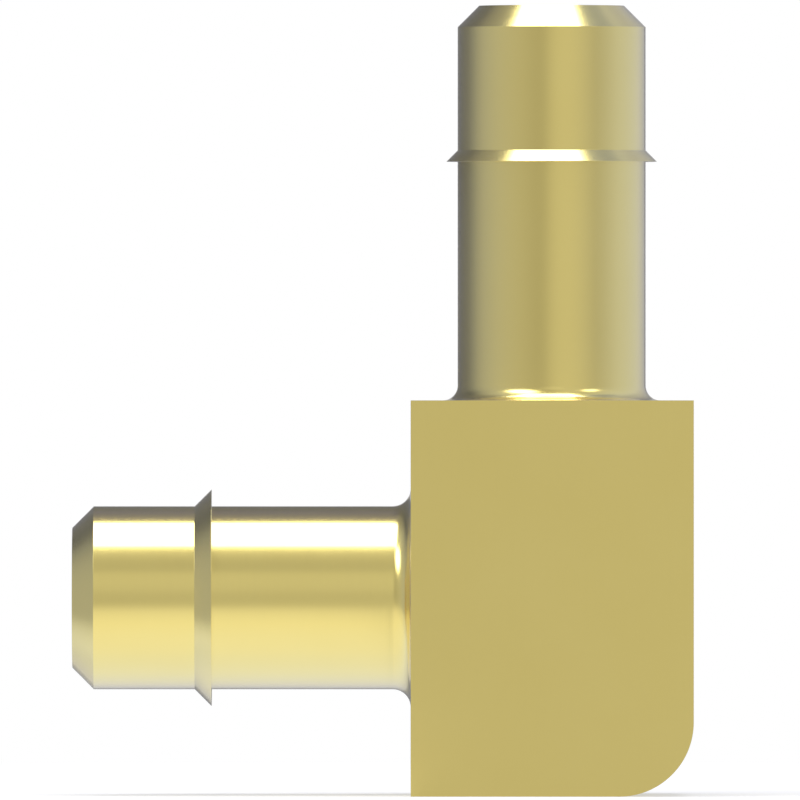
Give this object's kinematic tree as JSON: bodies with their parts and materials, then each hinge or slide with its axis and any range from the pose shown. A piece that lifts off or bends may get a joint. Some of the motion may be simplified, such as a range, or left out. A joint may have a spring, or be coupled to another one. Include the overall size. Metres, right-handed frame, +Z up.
{
  "type": "hose barb elbow",
  "caption": "Right-angle brass hose fitting: a square block with a barbed spigot up from its top and one out from its side, joined inside by drilled bores.",
  "frame": {"origin": "centre of the block's width and depth on its base face, under the top spigot's axis", "axes": "+Z up the top spigot, -X out along the side spigot, -Y towards the face that the picture shows"},
  "size_m": [0.022, 0.01, 0.028],
  "materials": {
    "brass": "bright turned brass, with fine lathe lines on the spigots and a smooth drawn finish on the block's flats"
  },
  "bodies": {
    "root": {"elbow_body": "brass"}
  },
  "joints": []
}
